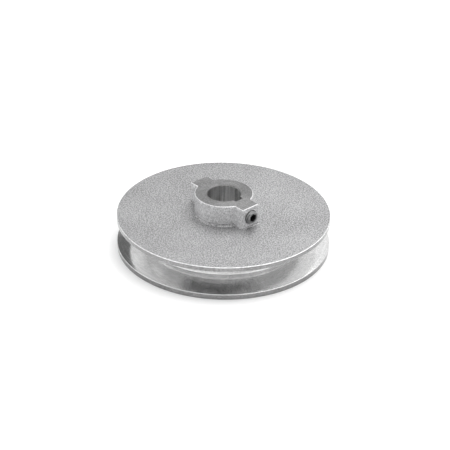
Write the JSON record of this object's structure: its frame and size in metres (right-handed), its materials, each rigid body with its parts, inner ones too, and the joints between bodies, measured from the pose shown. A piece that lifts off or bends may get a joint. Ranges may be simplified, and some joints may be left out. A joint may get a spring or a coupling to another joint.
{
  "type": "v belt pulley",
  "caption": "Flat-faced single-groove V-belt pulley with an offset hub, keyed bore, hub bosses and a socket set screw.",
  "frame": {"origin": "on the bore axis, in the plane of the rear faces of the hub and the rim", "axes": "+Z along the bore towards the hub's nose, +X outward along the set screw's axis"},
  "size_m": [0.1016, 0.1016, 0.0273],
  "materials": {
    "cast_alloy": "as-cast, matt and faintly grainy, with a smooth machined groove and bore",
    "black_steel": "black oxide"
  },
  "bodies": {
    "sheave": {"sheave": "cast_alloy"},
    "set_screw": {"set_screw": "black_steel"}
  },
  "joints": [
    {"name": "set_screw_travel", "type": "slide", "parent": "sheave", "child": "set_screw", "axis": [-1, 0, 0], "range_m": [-0.00254, 0.00508]}
  ]
}
